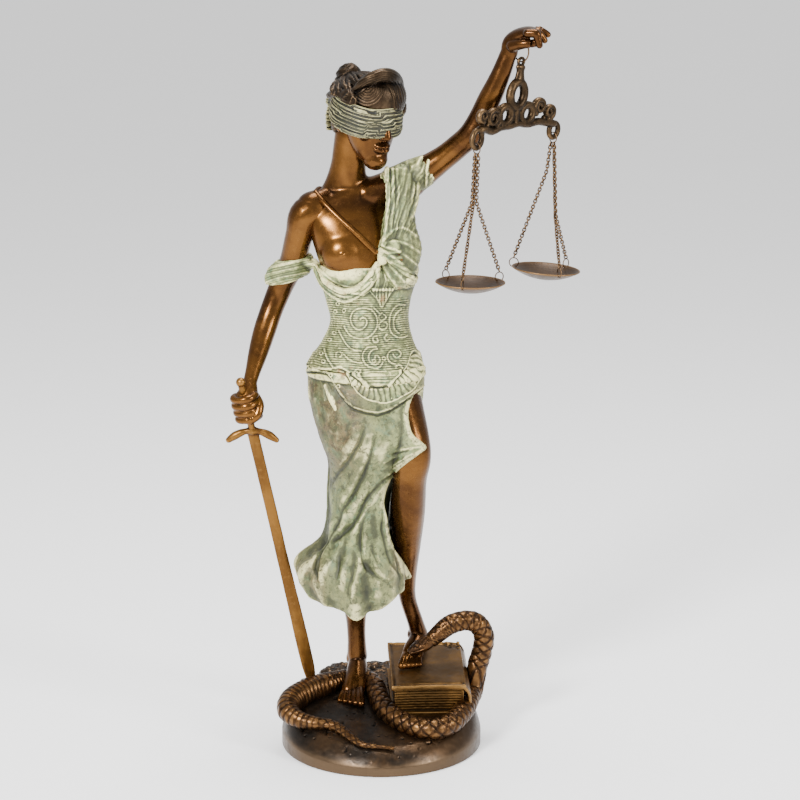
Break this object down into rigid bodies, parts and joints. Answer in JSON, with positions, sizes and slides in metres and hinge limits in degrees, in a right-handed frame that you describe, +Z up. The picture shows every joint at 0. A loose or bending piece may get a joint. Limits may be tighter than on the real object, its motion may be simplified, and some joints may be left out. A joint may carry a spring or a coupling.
{
  "type": "lady justice statue",
  "caption": "Standing blindfolded female figure on a round base, sword lowered, a hanging balance raised, foot on a book and a snake.",
  "frame": {"origin": "centre of the base's round underside, on the surface that it stands on", "axes": "+Z up, the figure faces -Y, and the raised arm with the balance is on the +X side"},
  "size_m": [0.3652, 0.2132, 0.7635],
  "materials": {
    "patinated_bronze": "cast bronze, brown with green-grey patina on the dress",
    "golden_bronze": "golden brown patinated bronze, satin",
    "dark_bronze": "dark brown patinated bronze, satin"
  },
  "bodies": {
    "root": {"bronze_figure_and_base": "patinated_bronze", "sword": "golden_bronze", "hand_ring": "dark_bronze", "balance_beam": "dark_bronze", "left_beam_ring": "dark_bronze", "left_pan": "dark_bronze", "left_pan_ring_1": "dark_bronze", "left_pan_ring_2": "dark_bronze", "left_pan_ring_3": "dark_bronze", "left_chain_1": "dark_bronze", "left_chain_2": "dark_bronze", "left_chain_3": "dark_bronze", "right_beam_ring": "dark_bronze", "right_pan": "dark_bronze", "right_pan_ring_1": "dark_bronze", "right_pan_ring_2": "dark_bronze", "right_pan_ring_3": "dark_bronze", "right_chain_1": "dark_bronze", "right_chain_2": "dark_bronze", "right_chain_3": "dark_bronze"}
  },
  "joints": []
}
